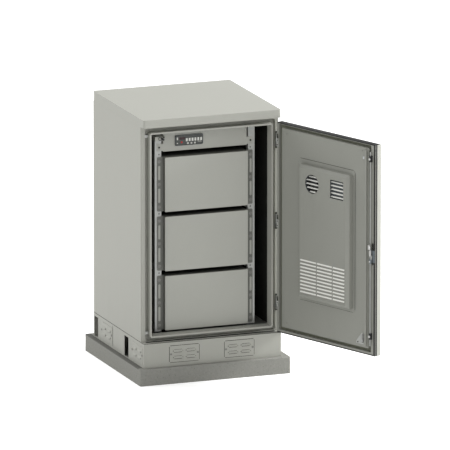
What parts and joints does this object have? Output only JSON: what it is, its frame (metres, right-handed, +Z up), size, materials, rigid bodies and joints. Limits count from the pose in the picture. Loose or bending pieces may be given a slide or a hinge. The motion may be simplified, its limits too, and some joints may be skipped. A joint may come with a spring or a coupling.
{
  "type": "roadside utility cabinet",
  "caption": "Floor-standing sheet steel equipment cabinet on a concrete slab, with a hinged insulated door, rod lock, ventilated plinth and rack of plug-in units",
  "frame": {"origin": "on the cabinet's centre line at the underside of the concrete slab", "axes": "+Z up, +X to the right seen from the front, the door side faces -Y"},
  "size_m": [0.9991, 1.3838, 1.294],
  "materials": {
    "concrete": "rough cast concrete",
    "housing_paint": "light warm grey powder coat",
    "inner_paint": "light grey powder coat",
    "module_paint": "matt grey powder coat",
    "zinc": "zinc plated sheet",
    "screw_steel": "bright zinc",
    "duct_grey": "satin grey powder coat",
    "black_rubber": "matt",
    "olive_foam": "foamed polyurethane",
    "black_plastic": "matt",
    "filter_fleece": "fleece",
    "red_window": "clear red window",
    "white_lamp": "milky diffuser",
    "white_plastic": "satin",
    "key_plastic": "matt",
    "lock_zinc": "zinc die casting"
  },
  "bodies": {
    "cabinet": {"concrete_base": "concrete", "anchor_bolts": "screw_steel", "plinth_front_panel": "housing_paint", "plinth_rear_panel": "housing_paint", "plinth_left_panel": "housing_paint", "plinth_right_panel": "housing_paint", "front_vent_covers": "housing_paint", "side_vent_covers": "housing_paint", "plinth_screws": "screw_steel", "left_side_panel": "housing_paint", "right_side_panel": "housing_paint", "rear_panel": "housing_paint", "door_frame": "housing_paint", "floor_pan": "inner_paint", "gland_plate": "zinc", "ceiling_panel": "inner_paint", "roof_cap": "housing_paint", "roof_screws": "screw_steel", "front_rail_left": "zinc", "front_rail_right": "zinc", "rear_rails": "zinc", "rail_cross_members": "zinc", "module_support_angles": "zinc", "upper_module": "module_paint", "middle_module": "module_paint", "lower_module": "module_paint", "module_screws": "screw_steel", "controller_housing": "module_paint", "display_bezel": "black_plastic", "red_display": "red_window", "indicator_lamps": "white_lamp", "door_switch_body": "black_plastic", "hinge_frame_leaves": "zinc", "hinge_pins": "screw_steel", "rod_keeps": "zinc"},
    "door": {"door_skin": "housing_paint", "door_edge_seal": "black_rubber", "door_inner_frame": "inner_paint", "door_liner": "inner_paint", "door_gasket": "olive_foam", "duct_mount_plate": "duct_grey", "duct_box": "duct_grey", "fan_housing": "black_plastic", "filter_mat": "filter_fleece", "lock_case": "lock_zinc", "rod_guides": "black_plastic", "hinge_door_leaves": "zinc", "run_on_bracket": "zinc", "lock_escutcheon": "black_plastic", "grille_inserts": "white_plastic"},
    "fan": {"fan_rotor": "black_plastic"},
    "lock_spindle": {"lock_insert": "lock_zinc", "lock_cam": "zinc"},
    "upper_bolt": {"upper_rod": "zinc"},
    "lower_bolt": {"lower_rod": "zinc"},
    "door_contact": {"switch_plunger": "black_plastic"},
    "menu_key": {"menu_button": "key_plastic"},
    "down_key": {"down_button": "key_plastic"},
    "up_key": {"up_button": "key_plastic"}
  },
  "joints": [
    {"name": "door_hinge", "type": "hinge", "parent": "cabinet", "child": "door", "pos_m": [0.345, -0.334, 0.69], "axis": [0, 0, 1], "range_deg": [-112.5, 8]},
    {"name": "fan_spin", "type": "hinge", "parent": "door", "child": "fan", "pos_m": [0.42495, -0.61586, 0.984], "axis": [-0.9239, -0.3827, 0], "continuous": true},
    {"name": "key_turn", "type": "hinge", "parent": "door", "child": "lock_spindle", "pos_m": [0.59541, -0.94899, 0.69], "axis": [0.9239, 0.3827, 0], "range_deg": [0, 90]},
    {"name": "upper_rod_slide", "type": "slide", "parent": "door", "child": "upper_bolt", "axis": [0, 0, 1], "range_m": [0, 0.00707]},
    {"name": "lower_rod_slide", "type": "slide", "parent": "door", "child": "lower_bolt", "axis": [0, 0, -1], "range_m": [0, 0.00709]},
    {"name": "switch_press", "type": "slide", "parent": "cabinet", "child": "door_contact", "axis": [0, 1, 0], "range_m": [0, 0.004], "stiffness_N_per_m": 300, "springref_m": -0.002},
    {"name": "menu_press", "type": "slide", "parent": "cabinet", "child": "menu_key", "axis": [0, 1, 0], "range_m": [0, 0.0015], "stiffness_N_per_m": 400, "springref_m": -0.001},
    {"name": "down_press", "type": "slide", "parent": "cabinet", "child": "down_key", "axis": [0, 1, 0], "range_m": [0, 0.0015], "stiffness_N_per_m": 400, "springref_m": -0.001},
    {"name": "up_press", "type": "slide", "parent": "cabinet", "child": "up_key", "axis": [0, 1, 0], "range_m": [0, 0.0015], "stiffness_N_per_m": 400, "springref_m": -0.001}
  ],
  "couplings": [
    {"joint": "key_turn", "follows": "upper_rod_slide", "rad_per_m": 222.14},
    {"joint": "lower_rod_slide", "follows": "upper_rod_slide", "ratio": 1}
  ]
}
